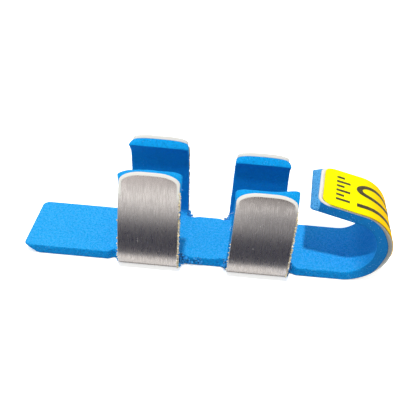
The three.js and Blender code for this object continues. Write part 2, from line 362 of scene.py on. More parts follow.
@dataclass
class FineBlank:
    """The flat blank as a fine grid of quads: the strip, and four prongs joined to its edges."""

    form: SplintForm
    step: float = 0.5
    near_edge: tuple[float, ...] = (0.0, 0.04, 0.1, 0.18, 0.3, 0.46, 0.68, 0.98)
    corner_steps: int = 9
    chunk: int = 1000
    across: np.ndarray = field(init=False)
    prong_across: np.ndarray = field(init=False)
    row_places: list[tuple[int, float]] = field(init=False)
    quads: np.ndarray = field(init=False)
    owner: np.ndarray = field(init=False)
    rim_edges: np.ndarray = field(init=False)
    rim: np.ndarray = field(init=False)

    def __post_init__(self) -> None:
        """Lays out the grid's rows, columns and faces, which are the same for every outline."""
        form = self.form
        self.across = self.edge_dense_shares(form.waist_width / 2)
        self.prong_across = self.edge_dense_shares(form.root)
        self.row_places = self.strip_row_places()
        self.join_faces()

    def edge_dense_shares(self, half_width: float) -> np.ndarray:
        """Spaces columns across a width, close together near its edges.

        Args:
            half_width: half the width, in millimetres.

        Returns:
            Shares from -1 to 1.
        """
        near = half_width - np.array(self.near_edge)
        count = math.ceil(2 * near[-1] / self.step)
        middle = np.linspace(-near[-1], near[-1], count + 1)[1:-1]
        return np.concatenate((-near, middle, near[::-1])) / half_width

    @staticmethod
    def root_anchor(pair: int) -> int:
        """The anchor where the roots of a pair of prongs start: four anchors stand round each pair."""
        return 3 + 4 * pair

    def anchors(self, outline: Outline, across: np.ndarray) -> np.ndarray:
        """The places along the strip that its rows are spaced between.

        Args:
            outline: the outline of the face.
            across: shares of the way across the strip.

        Returns:
            One row for each anchor, from the tail to the flap's end.
        """
        form = self.form
        flat = np.zeros_like(across)
        places = [flat - outline.end, flat + outline.tail_corner - outline.end]
        for pair in (0, 1):
            middle = form.pair_place(pair, across)
            outer = form.root + form.root_fillet
            places += [middle - outer, middle - form.root, middle + form.root, middle + outer]
        end = form.strip_length + outline.end
        places += [flat + form.base_length, flat + form.base_length + form.curl_length]
        places += [flat + end - outline.corner, flat + end]
        return np.array(places)

    def strip_row_places(self) -> list[tuple[int, float]]:
        """Spaces the rows of the strip.

        Returns:
            Each row as the anchor before it and a share of the way to the next one.
        """
        nominal = self.anchors(Outline(), np.zeros(1))[:, 0]
        quarter = np.linspace(0.0, math.pi / 2, self.corner_steps + 1)
        last = len(nominal) - 2
        rows = []
        for index in range(last + 1):
            if index == 0:
                shares = 1 - np.cos(quarter)
            elif index == last:
                shares = np.sin(quarter)
            elif index in (self.root_anchor(0), self.root_anchor(1)):
                shares = (self.prong_across + 1) / 2
            else:
                count = math.ceil((nominal[index + 1] - nominal[index]) / self.step)
                shares = np.linspace(0.0, 1.0, count + 1)
            rows += [(index, share) for share in shares[:-1]]
        return rows + [(last, 1.0)]

    def prong_runs(self, prong: Prong, outline: Outline) -> np.ndarray:
        """Spaces the rows of a prong.

        Args:
            prong: the prong.
            outline: the outline of the face.

        Returns:
            Each row's distance from the prong's root.
        """
        (bend, _), (wall, _), _ = self.form.prong_segments(prong)
        end = self.form.reach(prong) + outline.prong_tip
        places = [0.0, bend, bend + wall, end - outline.crown]
        counts = [math.ceil(length / self.step) for length, _ in self.form.prong_segments(prong)]
        spans = zip(places, places[1:], counts)
        runs = [np.linspace(start, stop, count + 1)[1:] for start, stop, count in spans]
        quarter = np.linspace(0.0, math.pi / 2, self.corner_steps + 1)[1:]
        return np.concatenate(runs + [end - outline.crown * (1 - np.sin(quarter))])

    def join_faces(self) -> None:
        """Numbers the grid's vertices and joins them into quads, then finds the rim."""
        rows, columns = len(self.row_places), len(self.across)
        grid = np.arange(rows * columns).reshape(rows, columns)
        quads = [self.grid_quads(grid)]
        owner = [np.full(rows * columns, -1)]
        start = grid.size
        for number, prong in enumerate(self.form.prongs):
            first = self.row_places.index((self.root_anchor(prong.pair), 0.0))
            edge = 0 if prong.side is Side.FRONT else columns - 1
            root = grid[first:first + len(self.prong_across), edge]
            count = len(self.prong_runs(prong, Outline()))
            own = np.arange(start, start + count * len(root)).reshape(count, len(root))
            whole = np.vstack((root, own))
            # A prong's rows run across the strip, so its quads turn the other way from the strip's.
            turned = self.grid_quads(whole if prong.side is Side.BACK else whole[:, ::-1])[:, ::-1]
            quads.append(turned)
            owner.append(np.full(own.size, number))
            start += own.size
        self.quads = np.vstack(quads)
        self.owner = np.concatenate(owner)
        self.rim_edges = open_edges(self.quads)
        self.rim = np.unique(self.rim_edges)

    @staticmethod
    def grid_quads(grid: np.ndarray) -> np.ndarray:
        """The quads of a grid of vertex numbers."""
        corners = (grid[:-1, :-1], grid[1:, :-1], grid[1:, 1:], grid[:-1, 1:])
        return np.stack([corner.ravel() for corner in corners], axis=1)

    def flat(self, outline: Outline) -> np.ndarray:
        """Every vertex of the blank in one face of a sheet.

        Args:
            outline: the outline of the face.

        Returns:
            (s, t) on the strip and (s, run) on a prong, one row a vertex.
        """
        form = self.form
        anchors = self.anchors(outline, self.across)
        s = np.array([lerp(anchors[i], anchors[i + 1], share) for i, share in self.row_places])
        across = np.broadcast_to(self.across, s.shape)
        t = across * form.face_half_width(outline, s, across)
        parts = [np.column_stack((s.ravel(), t.ravel()))]
        for prong in form.prongs:
            run = self.prong_runs(prong, outline)[:, None]
            s = form.prong_middle(prong, run) + self.prong_across * form.prong_half_width(prong, outline, run)
            parts.append(np.column_stack((s.ravel(), np.broadcast_to(run, s.shape).ravel())))
        return np.vstack(parts)

    def unfold(self, flat: np.ndarray, owner: np.ndarray) -> np.ndarray:
        """Lays the prongs out beside the strip, on one plane.

        Args:
            flat: places on the blank, one row a point.
            owner: the number of each point's prong, or -1 on the strip.

        Returns:
            (s, t) of each point.
        """
        plane = flat.copy()
        for number, prong in enumerate(self.form.prongs):
            mine = owner == number
            plane[mine, 1] = prong.side.value * (self.form.waist_width / 2 + flat[mine, 1])
        return plane

    def bend(self, flat: np.ndarray, h: np.ndarray, owner: np.ndarray) -> np.ndarray:
        """Bends places of the blank into the splint's shape.

        Args:
            flat: places on the blank, one row a point.
            h: depth into the thickness, one value a point.
            owner: the number of each point's prong, or -1 on the strip.

        Returns:
            (x, y, z) in millimetres.
        """
        bent = self.form.bend_strip(flat, h)
        for number, prong in enumerate(self.form.prongs):
            mine = owner == number
            bent[mine] = self.form.bend_prong(prong, flat[mine], h[mine])
        return bent

    def rim_distance(self, plane: np.ndarray) -> np.ndarray:
        """Measures on the flat blank how far each vertex is from the rim.

        Args:
            plane: (s, t) of each vertex, with the prongs laid out.

        Returns:
            One distance a vertex.
        """
        starts, stops = plane[self.rim_edges[:, 0]], plane[self.rim_edges[:, 1]]
        way = stops - starts
        length = np.maximum((way ** 2).sum(axis=1), TINY)
        nearest = []
        for chunk in np.array_split(plane, 1 + len(plane) // self.chunk):
            gap = chunk[:, None] - starts
            share = np.clip((gap * way).sum(axis=2) / length, 0.0, 1.0)
            nearest.append(np.sqrt(((gap - share[..., None] * way) ** 2).sum(axis=2).min(axis=1)))
        return np.concatenate(nearest)

    def rim_outward(self, plane: np.ndarray) -> np.ndarray:
        """Finds which way is out of the blank.

        Args:
            plane: (s, t) of each vertex, with the prongs laid out.

        Returns:
            The outward direction at each vertex of the rim, and zero elsewhere.
        """
        way = plane[self.rim_edges[:, 1]] - plane[self.rim_edges[:, 0]]
        outward = np.column_stack((way[:, 1], -way[:, 0]))
        total = np.zeros_like(plane)
        for end in (0, 1):
            np.add.at(total, self.rim_edges[:, end], outward)
        return total / np.maximum(np.linalg.norm(total, axis=1, keepdims=True), TINY)


def open_edges(faces: np.ndarray) -> np.ndarray:
    """Finds the edges that only one face has.

    Args:
        faces: vertex numbers, one row a face.

    Returns:
        The two vertex numbers of each such edge, in its face's own direction.
    """
    edges = np.concatenate([np.stack((faces[:, i], faces[:, (i + 1) % faces.shape[1]]), axis=1)
                            for i in range(faces.shape[1])])
    known = {tuple(edge) for edge in edges.tolist()}
    return np.array([edge for edge in edges.tolist() if (edge[1], edge[0]) not in known])


def link_object(name: str, data: bpy.types.ID) -> bpy.types.Object:
    """Puts a mesh, text, lamp or camera into the scene.

    Args:
        name: the object's name.
        data: what the object shows.

    Returns:
        The new object.
    """
    obj = bpy.data.objects.new(name, data)
    bpy.context.scene.collection.objects.link(obj)
    return obj


def new_mesh(name: str, points: np.ndarray, faces: list[list[int]], offset: Vector,
             shades: np.ndarray | None = None) -> bpy.types.Object:
    """Makes a mesh object from points in millimetres.

    Args:
        name: the object's name.
        points: (x, y, z) of each vertex, before the offset.
        faces: vertex numbers of each face.
        offset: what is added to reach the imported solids' place.
        shades: flat place, depth and distance from the rim of each vertex, for the materials. A mesh
            with them is shaded smooth.

    Returns:
        The object, linked to the scene.
    """
    mesh = bpy.data.meshes.new(name)
    mesh.from_pydata(((points + np.array(offset)) * MM).tolist(), [], faces)
    if shades is not None:
        mesh.polygons.foreach_set("use_smooth", [True] * len(mesh.polygons))
        place = mesh.attributes.new("blank", "FLOAT_VECTOR", "POINT")
        place.data.foreach_set("vector", shades[:, :3].ravel())
        rim = mesh.attributes.new("rim", "FLOAT", "POINT")
        rim.data.foreach_set("value", shades[:, 3].ravel())
    return link_object(name, mesh)


@dataclass
class Layer:
    """One skin or rim line of a sheet: its flat places and their depths."""

    flat: np.ndarray
    depth: np.ndarray


@dataclass
class SheetMesh:
    """A closed sheet, made of an outer skin, rim lines in between, and an inner skin."""

    blank: FineBlank
    name: str
    offset: Vector

    def build(self, layers: list[Layer], rim_distance: np.ndarray) -> bpy.types.Object:
        """Bends the layers and joins them into one closed mesh.

        Args:
            layers: the outer skin first, the inner skin last. Each holds every vertex of the blank.
            rim_distance: how far each vertex of the blank is from the rim.

        Returns:
            The new object, at the origin, with its place in its mesh.
        """
        blank = self.blank
        count, rim = len(blank.owner), blank.rim
        points, shades, numbers = [], [], []
        total = 0
        for index, layer in enumerate(layers):
            skin = index in (0, len(layers) - 1)
            used = np.arange(count) if skin else rim
            flat, depth, owner = layer.flat[used], layer.depth[used], blank.owner[used]
            points.append(blank.bend(flat, depth, owner))
            from_rim = rim_distance[used] if skin else np.zeros(len(used))
            shades.append(np.column_stack((blank.unfold(flat, owner), depth, from_rim)))
            number = np.zeros(count, int)
            number[used] = total + np.arange(len(used))
            numbers.append(number)
            total += len(used)
        faces = [blank.quads[:, ::-1], blank.quads + numbers[-1][0]]
        starts, stops = blank.rim_edges[:, 0], blank.rim_edges[:, 1]
        for low, high in zip(numbers, numbers[1:]):
            faces.append(np.stack((low[starts], low[stops], high[stops], high[starts]), axis=1))
        joined = np.vstack(faces).tolist()
        return new_mesh(self.name, np.vstack(points), joined, self.offset, np.vstack(shades))


class Wiring:
    """Adds and joins nodes in a shader or geometry tree."""

    def __init__(self, tree: bpy.types.NodeTree) -> None:
        """Keeps the tree."""
        self.tree = tree

    def feed(self, node: bpy.types.Node, **inputs: Feed) -> bpy.types.Node:
        """Gives a node its inputs.

        Args:
            node: the node.
            inputs: values or output sockets, by the input's name with _ for a space, or i0, i1 by number.

        Returns:
            The same node.
        """
        for key, value in inputs.items():
            by_number = key[0] == "i" and key[1:].isdigit()
            socket = node.inputs[int(key[1:])] if by_number else node.inputs[key.replace("_", " ")]
            if isinstance(value, bpy.types.NodeSocket):
                self.tree.links.new(value, socket)
            else:
                socket.default_value = value
        return node

    def add(self, kind: str, settings: dict | None = None, **inputs: Feed) -> bpy.types.Node:
        """Adds a node.

        Args:
            kind: the node's type.
            settings: properties of the node.
            inputs: what the node is fed.

        Returns:
            The new node.
        """
        node = self.tree.nodes.new(kind)
        for key, value in (settings or {}).items():
            setattr(node, key, value)
        return self.feed(node, **inputs)

    def math(self, operation: str, *values: Feed) -> bpy.types.NodeSocket:
        """A sum, product or other operation on numbers."""
        inputs = {f"i{number}": value for number, value in enumerate(values)}
        return self.add("ShaderNodeMath", {"operation": operation}, **inputs).outputs[0]

    def product(self, a: Feed, b: Feed) -> bpy.types.NodeSocket:
        """One number times another."""
        return self.math("MULTIPLY", a, b)

    def larger(self, a: Feed, b: Feed) -> bpy.types.NodeSocket:
        """The larger of two numbers."""
        return self.math("MAXIMUM", a, b)

    def times(self, vector: Feed, factors: Feed) -> bpy.types.NodeSocket:
        """A vector with each part multiplied by its own factor."""
        return self.add("ShaderNodeVectorMath", {"operation": "MULTIPLY"}, i0=vector, i1=factors).outputs[0]

    def scaled(self, vector: Feed, factor: Feed) -> bpy.types.NodeSocket:
        """A vector made longer or shorter."""
        return self.add("ShaderNodeVectorMath", {"operation": "SCALE"}, i0=vector, Scale=factor).outputs[0]

    def axes(self, vector: Feed) -> bpy.types.NodeOutputs:
        """The X, Y and Z of a vector."""
        return self.add("ShaderNodeSeparateXYZ", Vector=vector).outputs

    def vector(self, **parts: Feed) -> bpy.types.NodeSocket:
        """A vector from its X, Y and Z, where a missing one is 0."""
        return self.add("ShaderNodeCombineXYZ", **parts).outputs[0]

    def ramp(self, value: Feed, low: float, high: float, start: float = 0.0,
             stop: float = 1.0) -> bpy.types.NodeSocket:
        """Maps a number from low..high to start..stop, smoothly and clamped."""
        inputs = {"i0": value, "i1": low, "i2": high, "i3": start, "i4": stop}
        return self.add("ShaderNodeMapRange", {"interpolation_type": "SMOOTHSTEP"}, **inputs).outputs[0]

    def mix(self, share: Feed, a: Feed, b: Feed) -> bpy.types.NodeSocket:
        """Mixes two colours."""
        return self.add("ShaderNodeMix", {"data_type": "RGBA"}, i0=share, i6=a, i7=b).outputs[2]

    def blend(self, share: Feed, a: Feed, b: Feed) -> bpy.types.NodeSocket:
        """Mixes two numbers."""
        return self.add("ShaderNodeMix", {"data_type": "FLOAT"}, i0=share, i2=a, i3=b).outputs[0]

    def noise(self, place: Feed, scale: Feed, detail: float, **more: Feed) -> bpy.types.NodeSocket:
        """Smooth noise over a place."""
        return self.add("ShaderNodeTexNoise", Vector=place, Scale=scale, Detail=detail, **more).outputs[0]

    def bump(self, height: Feed, strength: float, distance: float) -> bpy.types.NodeSocket:
        """A normal from a height map, with its distance in millimetres."""
        return self.add("ShaderNodeBump", Strength=strength, Distance=distance * MM, Height=height).outputs[0]

    def place(self) -> bpy.types.NodeSocket:
        """The place on the flat blank, in millimetres."""
        return self.add("ShaderNodeAttribute", {"attribute_name": "blank"}).outputs["Vector"]

    def from_rim(self) -> bpy.types.NodeSocket:
        """The distance from the sheet's rim, in millimetres."""
        return self.add("ShaderNodeAttribute", {"attribute_name": "rim"}).outputs["Fac"]

    def coordinates(self, kind: str = "Object") -> bpy.types.NodeSocket:
        """Texture coordinates, in metres where they are the object's."""
        return self.add("ShaderNodeTexCoord").outputs[kind]

    def seen(self) -> bpy.types.NodeSocket:
        """1 where the camera looks straight at a place, and 0 for reflected and scattered light."""
        return self.add("ShaderNodeLightPath").outputs["Is Camera Ray"]

    def group(self, tree: bpy.types.NodeTree, **inputs: Feed) -> bpy.types.NodeSocket:
        """Places a node group with its own values, and gives its output."""
        return self.add("ShaderNodeGroup", {"node_tree": tree}, **inputs).outputs[0]

    def realized(self, bits: bpy.types.NodeSocket, material: Feed) -> bpy.types.NodeSocket:
        """Makes instances real and gives them their material."""
        real = self.add("GeometryNodeRealizeInstances", Geometry=bits).outputs[0]
        return self.add("GeometryNodeSetMaterial", Geometry=real, Material=material).outputs[0]


def new_tree(name: str, kind: str, inputs: dict[str, tuple[str, float | None]],
             output: tuple[str, str]) -> tuple[Wiring, bpy.types.NodeOutputs, bpy.types.Node]:
    """Starts a node group with one output.

    Args:
        name: the group's name.
        kind: Shader or Geometry.
        inputs: each input's socket type and its first value, if it has one, by name.
        output: the output's name and socket type.

    Returns:
        The wiring of the new tree, the sockets of its inputs, and its output node.
    """
    tree = bpy.data.node_groups.new(name, f"{kind}NodeTree")
    for label, (socket_kind, value) in inputs.items():
        socket = tree.interface.new_socket(label, in_out="INPUT", socket_type=f"NodeSocket{socket_kind}")
        if value is not None:
            socket.default_value = value
    tree.interface.new_socket(output[0], in_out="OUTPUT", socket_type=f"NodeSocket{output[1]}")
    return Wiring(tree), tree.nodes.new("NodeGroupInput").outputs, tree.nodes.new("NodeGroupOutput")


def new_geometry_tree(name: str, sizes: tuple[str, ...], number: str,
                      finish: str) -> tuple[Wiring, bpy.types.NodeOutputs, bpy.types.Node]:
    """Starts a geometry tree.

    Args:
        name: the tree's name.
        sizes: the names of its sizes.
        number: the name of its whole number.
        finish: the name of its material.

    Returns:
        The wiring of the new tree, the sockets of its inputs, and its output node.
    """
    inputs = {"Geometry": ("Geometry", None)} | {label: ("Float", None) for label in sizes}
    inputs |= {number: ("Int", None), finish: ("Material", None)}
    return new_tree(name, "Geometry", inputs, ("Geometry", "Geometry"))


def run_tree(tree: bpy.types.NodeTree, name: str, guide: np.ndarray, values: dict) -> bpy.types.Mesh:
    """Runs geometry nodes on guide points.

    Args:
        tree: the node tree, whose first input is the geometry.
        name: a name for the mesh.
        guide: the guide points.
        values: the tree's inputs by name.

    Returns:
        The result as a plain mesh, with its instances realized.
    """
    mesh = bpy.data.meshes.new(name)
    mesh.from_pydata(guide.tolist(), [], [])
    obj = link_object(name, mesh)
    modifier = obj.modifiers.new("make", "NODES")
    modifier.node_group = tree
    for item in tree.interface.items_tree:
        if item.item_type == "SOCKET" and item.in_out == "INPUT" and item.name in values:
            modifier[item.identifier] = values[item.name]
    graph = bpy.context.evaluated_depsgraph_get()
    result = bpy.data.meshes.new_from_object(obj.evaluated_get(graph))
    bpy.data.objects.remove(obj)
    return result


def grain_group() -> bpy.types.NodeTree:
    """Fine grain over a surface: a mask of patches, with a finer speckle laid over it.

    Returns:
        The node group, with the place, the sizes and the speckle's share as its inputs.
    """
    inputs = {"Place": ("Vector", None), "Patches": ("Float", 1.0), "Speckle": ("Float", 4.0),
              "Speckle share": ("Float", 0.4)}
    wires, given, sink = new_tree("surface_grain", "Shader", inputs, ("Mask", "Float"))
    patches = wires.noise(given["Place"], given["Patches"], 3.0)
    speckle = wires.noise(given["Place"], given["Speckle"], 2.0)
    wires.feed(sink, Mask=wires.blend(given["Speckle share"], patches, speckle))
    return wires.tree


def speck_group() -> bpy.types.NodeTree:
    """Sparse small specks, such as dust: 1 in a speck and 0 beside it.

    Returns:
        The node group, with the place, the density, the size and the specks' share as its inputs.
    """
    inputs = {"Place": ("Vector", None), "Density": ("Float", 1.0), "Size": ("Float", 0.1),
              "Share": ("Float", 0.1)}
    wires, given, sink = new_tree("loose_specks", "Shader", inputs, ("Mask", "Float"))
    cells = wires.add("ShaderNodeTexVoronoi", Vector=given["Place"], Scale=given["Density"]).outputs
    near = wires.math("LESS_THAN", cells["Distance"], given["Size"])
    tone = wires.add("ShaderNodeSeparateColor", Color=cells["Color"]).outputs[0]
    wires.feed(sink, Mask=wires.product(near, wires.math("LESS_THAN", tone, given["Share"])))
    return wires.tree


@dataclass(frozen=True)
class SharedEffects:
    """The node groups that several finishes use."""

    grain: bpy.types.NodeTree
    specks: bpy.types.NodeTree


@dataclass(frozen=True)
class Grain:
    """One use of the grain: its patches and speckles to the millimetre, and the speckle's share."""

    patches: float
    speckle: float
    share: float

    def mask(self, wires: Wiring, effects: SharedEffects, place: Feed) -> bpy.types.NodeSocket:
        """Places the grain in a material."""
        return wires.group(effects.grain, Place=place, Patches=self.patches, Speckle=self.speckle,
                           Speckle_share=self.share)


@dataclass(frozen=True)
class Specks:
    """One use of the specks: how close their cells are, how big a speck is, and how many cells have one."""

    density: float
    size: float
    share: float

    def mask(self, wires: Wiring, effects: SharedEffects, place: Feed) -> bpy.types.NodeSocket:
        """Places the specks in a material."""
        return wires.group(effects.specks, Place=place, Density=self.density, Size=self.size,
                           Share=self.share)


def new_material(name: str) -> tuple[bpy.types.Material, Wiring, bpy.types.Node]:
    """Starts a material.

    Args:
        name: the material's name.

    Returns:
        The material, its wiring, and its Principled shader.
    """
    material = bpy.data.materials.new(name)
    material.use_nodes = True
    return material, Wiring(material.node_tree), material.node_tree.nodes["Principled BSDF"]


@dataclass(frozen=True)
class BrushedAluminium:
    """Brushed sheet: lines across the strip and along the prongs, and pale cut edges, painted darker along
    the strip's long sides as shade.

    Zones are spans in millimetres: along the blank, across it, or from its rim. Relief is a bump's
    strength and its height in millimetres.
    """

    face: Colour = (0.75, 0.665, 0.635, 1.0)
    streak: Colour = (0.60, 0.53, 0.505, 1.0)
    cut: Colour = (0.78, 0.76, 0.71, 1.0)
    # Painted shade: the darker colour that the cut edges take along the strip's long sides.
    side_edge_shade: Colour = (0.60, 0.60, 0.57, 1.0)
    fine_lines: tuple[float, float, float] = (7.0, 0.45, 1.0)
    wide_lines: tuple[float, float, float] = (1.3, 0.25, 1.0)
    fine_share: float = 0.75
    line_breakup: float = 0.65
    contrast: Span = (0.34, 0.66)
    dust: Specks = Specks(1.1, 0.10, 0.14)
    dust_tint: float = 0.7
    dust_matt: float = 0.9
    roughness: Span = (0.32, 0.24)
    relief: Span = (0.10, 0.012)
    edge_matt: Span = (0.12, 1.0)
    edge_rough: Span = (0.45, 0.8)
    cut_zone: Span = (0.0, 0.05)
    rolled_zone: Span = (0.42, 0.64)
    strip_zone: Span = (8.5, 9.5)
    tip_zone: Span = (24.6, 26.6)
    flap_zone: Span = (91.0, 92.5)

    def material(self, effects: SharedEffects) -> bpy.types.Material:
        """Builds the material.

        Args:
            effects: the shared node groups.

        Returns:
            The material.
        """
        material, wires, shader = new_material("brushed_aluminium")
        place, rim = wires.place(), wires.from_rim()
        parts = wires.axes(place)
        across = wires.math("ABSOLUTE", parts["Y"])
        fine = wires.noise(wires.times(place, self.fine_lines), 1.0, 4.0, Roughness=self.line_breakup)
        wide = wires.noise(wires.times(place, self.wide_lines), 1.0, 2.0)
        lines = wires.math("MULTIPLY_ADD", fine, self.fine_share, wires.product(wide, 1.0 - self.fine_share))
        streaks = wires.ramp(lines, *self.contrast)
        specks = self.dust.mask(wires, effects, place)
        brushed = wires.mix(streaks, self.streak, self.face)
        dusty = wires.mix(wires.product(specks, self.dust_tint), brushed, self.cut)
        flap_end = wires.ramp(parts["X"], *self.flap_zone)
        tip = wires.larger(wires.ramp(across, *self.tip_zone), flap_end)
        rolled = wires.product(wires.ramp(rim, *self.rolled_zone, 1.0, 0.0), tip)
        cut = wires.larger(wires.ramp(rim, *self.cut_zone, 1.0, 0.0), rolled)
        on_strip = wires.ramp(across, *self.strip_zone, 1.0, 0.0)
        # Along the strip's long sides the cut edges are painted darker, as shade.
        side = wires.product(on_strip, wires.math("SUBTRACT", 1.0, flap_end))
        edge = wires.mix(side, self.cut, self.side_edge_shade)
        torn = wires.product(cut, wires.ramp(tip, 0.0, 1.0, *self.edge_matt))
        matt = wires.larger(torn, wires.product(specks, self.dust_matt))
        coarse = wires.product(cut, wires.ramp(tip, 0.0, 1.0, *self.edge_rough))
        rough = wires.larger(wires.ramp(streaks, 0.0, 1.0, *self.roughness), coarse)
        wires.feed(shader, Base_Color=wires.mix(cut, dusty, edge), Metallic=wires.math("SUBTRACT", 1.0, matt),
                   Roughness=rough, Normal=wires.bump(lines, *self.relief))
        return material


@dataclass(frozen=True)
class BlueFoam:
    """Closed-cell foam: a matt mottled skin, and a coarser speckle where it is cut. Painted shade darkens its
    skin on the prongs and in the curl, and its cut flank.

    Zones and relief are as in the metal. Tints are a value on the skin and one on a cut, and
    contrasts are the span of the grain that a tint rises over.
    """

    skin: Colour = (0.002, 0.37, 0.86, 1.0)
    pale: Colour = (0.055, 0.46, 0.97, 1.0)
    # Painted shade: the cut flank takes these darker colours, the second one inside the curl.
    cut_face: Colour = (0.003, 0.28, 0.70, 1.0)
    curl_cut_shade: Colour = (0.008, 0.13, 0.38, 1.0)
    end_face: Colour = (0.10, 0.44, 0.85, 1.0)
    tip_face: Colour = (0.004, 0.38, 0.90, 1.0)
    # Painted shade: the skin takes this darker colour on the prongs' inner faces and, in part, inside the
    # curl.
    skin_shade: Colour = (0.001, 0.21, 0.58, 1.0)
    pit: Colour = (0.002, 0.13, 0.42, 1.0)
    fluff: Colour = (0.34, 0.66, 0.98, 1.0)
    roughness: float = 0.9
    specular: float = 0.1
    relief: Span = (0.8, 0.32)
    mottle: Grain = Grain(1.9, 4.6, 0.6)
    mottle_contrast: Span = (0.42, 0.58)
    cells: Grain = Grain(2.6, 6.0, 0.5)
    cell_contrast: Span = (0.52, 0.38)
    specks: Specks = Specks(3.0, 0.22, 0.30)
    speck_tint: Span = (0.10, 0.32)
    pit_tint: Span = (0.22, 0.8)
    pits_at_tip: float = 0.55
    # How much of the skin's painted shade falls inside the curl.
    curl_skin_shade_share: float = 0.5
    curl_shaded: float = 0.75
    cut_zone: Span = (0.02, 0.3)
    prong_zone: Span = (9.5, 13.0)
    tip_zone: Span = (26.0, 27.0)
    curl_zone: Span = (63.0, 70.0)
    end_zone: Span = (93.4, 93.8)

    def material(self, effects: SharedEffects) -> bpy.types.Material:
        """Builds the material.

        Args:
            effects: the shared node groups.

        Returns:
            The material.
        """
        material, wires, shader = new_material("blue_foam")
        place = wires.place()
        parts = wires.axes(place)
        across = wires.math("ABSOLUTE", parts["Y"])
        on_prong, at_tip = wires.ramp(across, *self.prong_zone), wires.ramp(across, *self.tip_zone)
        on_curl, at_end = wires.ramp(parts["X"], *self.curl_zone), wires.ramp(parts["X"], *self.end_zone)
        cut = wires.ramp(wires.from_rim(), *self.cut_zone, 1.0, 0.0)
        mottle, cells = (grain.mask(wires, effects, place) for grain in (self.mottle, self.cells))
        skin = wires.mix(wires.ramp(mottle, *self.mottle_contrast), self.skin, self.pale)
        # Where the skin is painted darker as shade: the prongs' inner faces, and part of the curl.
        skin_shade_mask = wires.larger(on_prong, wires.product(on_curl, self.curl_skin_shade_share))
        # The cut flank is painted darker as shade, most inside the curl, but not at the prong tips or the
        # flap's end.
        flank = wires.mix(wires.product(on_curl, self.curl_shaded), self.cut_face, self.curl_cut_shade)
        flank = wires.mix(at_end, wires.mix(at_tip, flank, self.tip_face), self.end_face)
        faced = wires.mix(cut, wires.mix(skin_shade_mask, skin, self.skin_shade), flank)
        pits = wires.ramp(cells, *self.cell_contrast)
        deep = wires.product(pits, wires.ramp(cut, 0.0, 1.0, *self.pit_tint))
        deep = wires.product(deep, wires.ramp(at_tip, 0.0, 1.0, 1.0, self.pits_at_tip))
        specks = self.specks.mask(wires, effects, place)
        fluffy = wires.product(specks, wires.ramp(cut, 0.0, 1.0, *self.speck_tint))
        colour = wires.mix(fluffy, wires.mix(deep, faced, self.pit), self.fluff)
        wires.feed(shader, Base_Color=colour, Roughness=self.roughness, Specular_IOR_Level=self.specular,
                   Normal=wires.bump(wires.math("ADD", cells, mottle), *self.relief))
        return material


@dataclass(frozen=True)
class LabelPaper:
    """Smooth yellow printed film, with a faint unevenness, painted darker and more orange where it turns down
    over the curl, as shade.
    """

    colour: Colour = (0.98, 0.95, 0.0, 1.0)
    worn: Colour = (0.96, 0.88, 0.0, 1.0)
    # Painted shade: the film turns to this darker orange where it turns down over the curl.
    turn_shade: Colour = (1.0, 0.60, 0.0, 1.0)
    turn_shade_zone: Span = (88.0, 80.0)
    unevenness: Grain = Grain(0.35, 2.5, 0.3)
    wear: Span = (0.45, 0.7)
    gloss_contrast: Span = (0.3, 0.7)
    roughness: Span = (0.5, 0.6)
    specular: float = 0.01
    relief: Span = (0.15, 0.03)

    def material(self, effects: SharedEffects) -> bpy.types.Material:
        """Builds the material.

        Args:
            effects: the shared node groups.

        Returns:
            The material.
        """
        material, wires, shader = new_material("yellow_film")
        place = wires.place()
        tone = self.unevenness.mask(wires, effects, place)
        # How far along the turn over the curl the painted shade reaches.
        turn_shading = wires.ramp(wires.axes(place)["X"], *self.turn_shade_zone)
        film = wires.mix(wires.ramp(tone, *self.wear), self.colour, self.worn)
        wires.feed(shader, Base_Color=wires.mix(turn_shading, film, self.turn_shade), Specular_IOR_Level=self.specular,
                   Roughness=wires.ramp(tone, *self.gloss_contrast, *self.roughness),
                   Normal=wires.bump(tone, *self.relief))
        return material


@dataclass(frozen=True)
class PrintInk:
    """Dark brown-grey print, a little uneven."""

    dark: Colour = (0.045, 0.036, 0.012, 1.0)
    thin: Colour = (0.10, 0.085, 0.02, 1.0)
    unevenness: Grain = Grain(1.2, 6.0, 0.5)
    wear: Span = (0.45, 0.65)
    roughness: float = 0.5
    specular: float = 0.1

    def material(self, effects: SharedEffects) -> bpy.types.Material:
        """Builds the material.

        Args:
            effects: the shared node groups.

        Returns:
            The material.
        """
        material, wires, shader = new_material("dark_ink")
        place = wires.times(wires.coordinates(), (1 / MM,) * 3)
        tone = wires.ramp(self.unevenness.mask(wires, effects, place), *self.wear)
        wires.feed(shader, Base_Color=wires.mix(tone, self.dark, self.thin), Roughness=self.roughness,
                   Specular_IOR_Level=self.specular)
        return material


@dataclass(frozen=True)
class BitTint:
    """A plain tint for small bits, varied a little from bit to bit by its place."""

    name: str
    low: Colour
    high: Colour
    metallic: float = 0.0
    roughness: float = 0.7
    variation: float = 2.6
    contrast: Span = (0.4, 0.6)

    def material(self) -> bpy.types.Material:
        """Builds the material.

        Returns:
            The material.
        """
        material, wires, shader = new_material(self.name)
        tone = wires.ramp(wires.noise(wires.coordinates(), self.variation / MM, 2.0), *self.contrast)
        wires.feed(shader, Base_Color=wires.mix(tone, self.low, self.high), Metallic=self.metallic,
                   Roughness=self.roughness)
        return material


def dress(obj: bpy.types.Object, material: bpy.types.Material, slot: str, *nodes: str) -> None:
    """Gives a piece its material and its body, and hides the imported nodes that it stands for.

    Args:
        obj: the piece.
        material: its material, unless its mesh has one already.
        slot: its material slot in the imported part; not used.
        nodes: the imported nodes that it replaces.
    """
    if not obj.data.materials:
        obj.data.materials.append(material)
    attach(obj, BODY)
    if nodes:
        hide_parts(*nodes)
    LOG.info("%s: %d faces", obj.name, len(obj.data.polygons))


